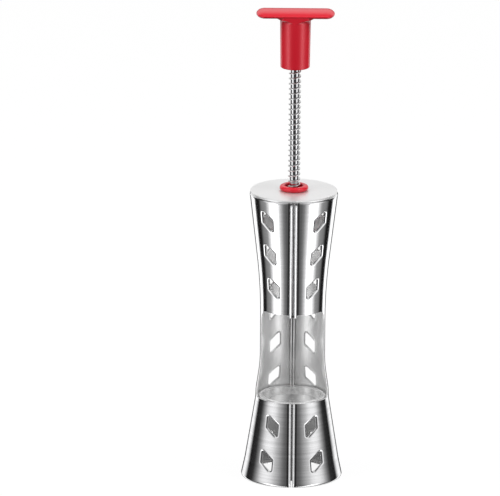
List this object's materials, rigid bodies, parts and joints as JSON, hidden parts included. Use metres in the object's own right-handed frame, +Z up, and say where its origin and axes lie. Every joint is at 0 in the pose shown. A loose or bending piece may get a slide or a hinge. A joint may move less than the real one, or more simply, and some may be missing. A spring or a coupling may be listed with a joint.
{
  "type": "cherry pitter",
  "caption": "Waisted steel plunger cherry pitter with a window and cherry cup, a sprung chrome rod and a red T-handle.",
  "frame": {"origin": "centre of the base, on the surface that the tool stands on", "axes": "+Z up along the plunger's axis; the window faces -Y; the handle's bar lies along X"},
  "size_m": [0.0432, 0.0446, 0.2072],
  "materials": {
    "shell_steel": "fine brushed, near mirror",
    "lid_steel": "satin",
    "cup_steel": "polished",
    "inner_steel": "plain",
    "spring_steel": "bright drawn wire",
    "rod_chrome": "mirror",
    "red_plastic": "satin gloss",
    "insert_brass": "turned",
    "bumper_rubber": "matte"
  },
  "bodies": {
    "root": {"shell_left": "shell_steel", "shell_right": "shell_steel", "seam_strip_back": "inner_steel", "seam_strip_front_upper": "inner_steel", "seam_strip_front_lower": "inner_steel", "lid": "lid_steel", "guide_bush": "red_plastic", "bush_washer": "inner_steel", "bush_nut": "inner_steel", "lower_spring_seat": "inner_steel", "return_spring": "spring_steel", "cherry_cup": "cup_steel", "cup_support_ring": "inner_steel", "cup_snap_ring": "spring_steel"},
    "spring_seat": {"upper_spring_seat": "inner_steel"},
    "plunger": {"plunger_rod": "rod_chrome", "punch": "rod_chrome", "stop_clip": "spring_steel", "stop_bumper": "bumper_rubber", "handle": "red_plastic", "handle_insert": "insert_brass"}
  },
  "joints": [
    {"name": "press", "type": "slide", "parent": "root", "child": "spring_seat", "axis": [0, 0, -1], "range_m": [0, 0.0522], "stiffness_N_per_m": 280, "springref_m": -0.008, "deforming": ["return_spring"]},
    {"name": "swivel", "type": "hinge", "parent": "spring_seat", "child": "plunger", "pos_m": [0, 0, 0.2], "axis": [0, 0, 1], "continuous": true}
  ]
}
